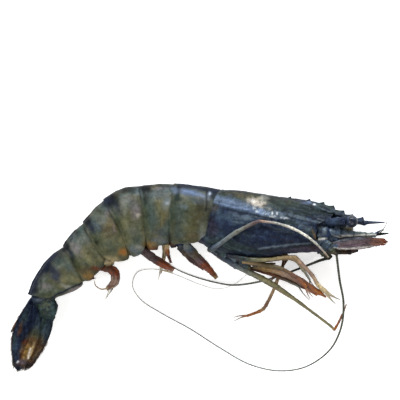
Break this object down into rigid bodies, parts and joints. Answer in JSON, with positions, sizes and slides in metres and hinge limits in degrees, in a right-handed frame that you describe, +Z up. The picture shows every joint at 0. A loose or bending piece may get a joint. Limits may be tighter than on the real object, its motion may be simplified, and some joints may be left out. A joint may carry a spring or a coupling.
{
  "type": "raw tiger prawn",
  "caption": "Whole raw tiger prawn lying on its side: shield with toothed rostrum, ringed abdomen bent down to a folded tail fan, legs and long feelers.",
  "frame": {"origin": "on the flat spot under the shield, on which the prawn rests", "axes": "+X points to the head, +Y to the back and +Z up, to the right side of the prawn, which lies on its left side"},
  "size_m": [0.1704, 0.0852, 0.0232],
  "materials": {
    "shell": "wet translucent shell",
    "underside": "wet flesh and thin shell",
    "head": "wet shell",
    "eyes": "glossy, dark",
    "antennal_scales": "thin translucent shell",
    "maxillipeds": "wet shell",
    "walking_legs": "wet shell, banded",
    "swimming_legs": "wet soft shell with fringes",
    "feelers": "thin, satin",
    "tail_fan": "wet thin shell with fringes"
  },
  "bodies": {
    "root": {"carapace": "shell", "thorax": "underside", "abdomen_1": "shell", "abdomen_2": "shell", "abdomen_3": "shell", "abdomen_4": "shell", "abdomen_5": "shell", "abdomen_6": "shell", "eye_stalk_right": "head", "eye_stalk_left": "head", "antenna_base_right": "head", "antenna_base_left": "head", "palp_right": "head", "palp_left": "head", "antennule_right": "head", "antennule_left": "head", "eye_right": "eyes", "eye_left": "eyes", "antennal_scale_right": "antennal_scales", "antennal_scale_left": "antennal_scales", "maxilliped_3_right": "maxillipeds", "maxilliped_3_left": "maxillipeds", "pereiopod_1_right": "walking_legs", "pereiopod_2_right": "walking_legs", "pereiopod_3_right": "walking_legs", "pereiopod_4_right": "walking_legs", "pereiopod_5_right": "walking_legs", "pereiopod_1_left": "walking_legs", "pereiopod_2_left": "walking_legs", "pereiopod_3_left": "walking_legs", "pereiopod_4_left": "walking_legs", "pereiopod_5_left": "walking_legs", "pleopod_1_right": "swimming_legs", "pleopod_1_left": "swimming_legs", "pleopod_2_right": "swimming_legs", "pleopod_2_left": "swimming_legs", "pleopod_3_right": "swimming_legs", "pleopod_3_left": "swimming_legs", "pleopod_4_right": "swimming_legs", "pleopod_4_left": "swimming_legs", "pleopod_5_right": "swimming_legs", "pleopod_5_left": "swimming_legs", "flagellum_right": "feelers", "flagellum_left": "feelers", "telson": "tail_fan", "tail_stem_right": "tail_fan", "tail_stem_left": "tail_fan", "inner_blade_right": "tail_fan", "outer_blade_right": "tail_fan", "inner_blade_left": "tail_fan", "outer_blade_left": "tail_fan"}
  },
  "joints": []
}
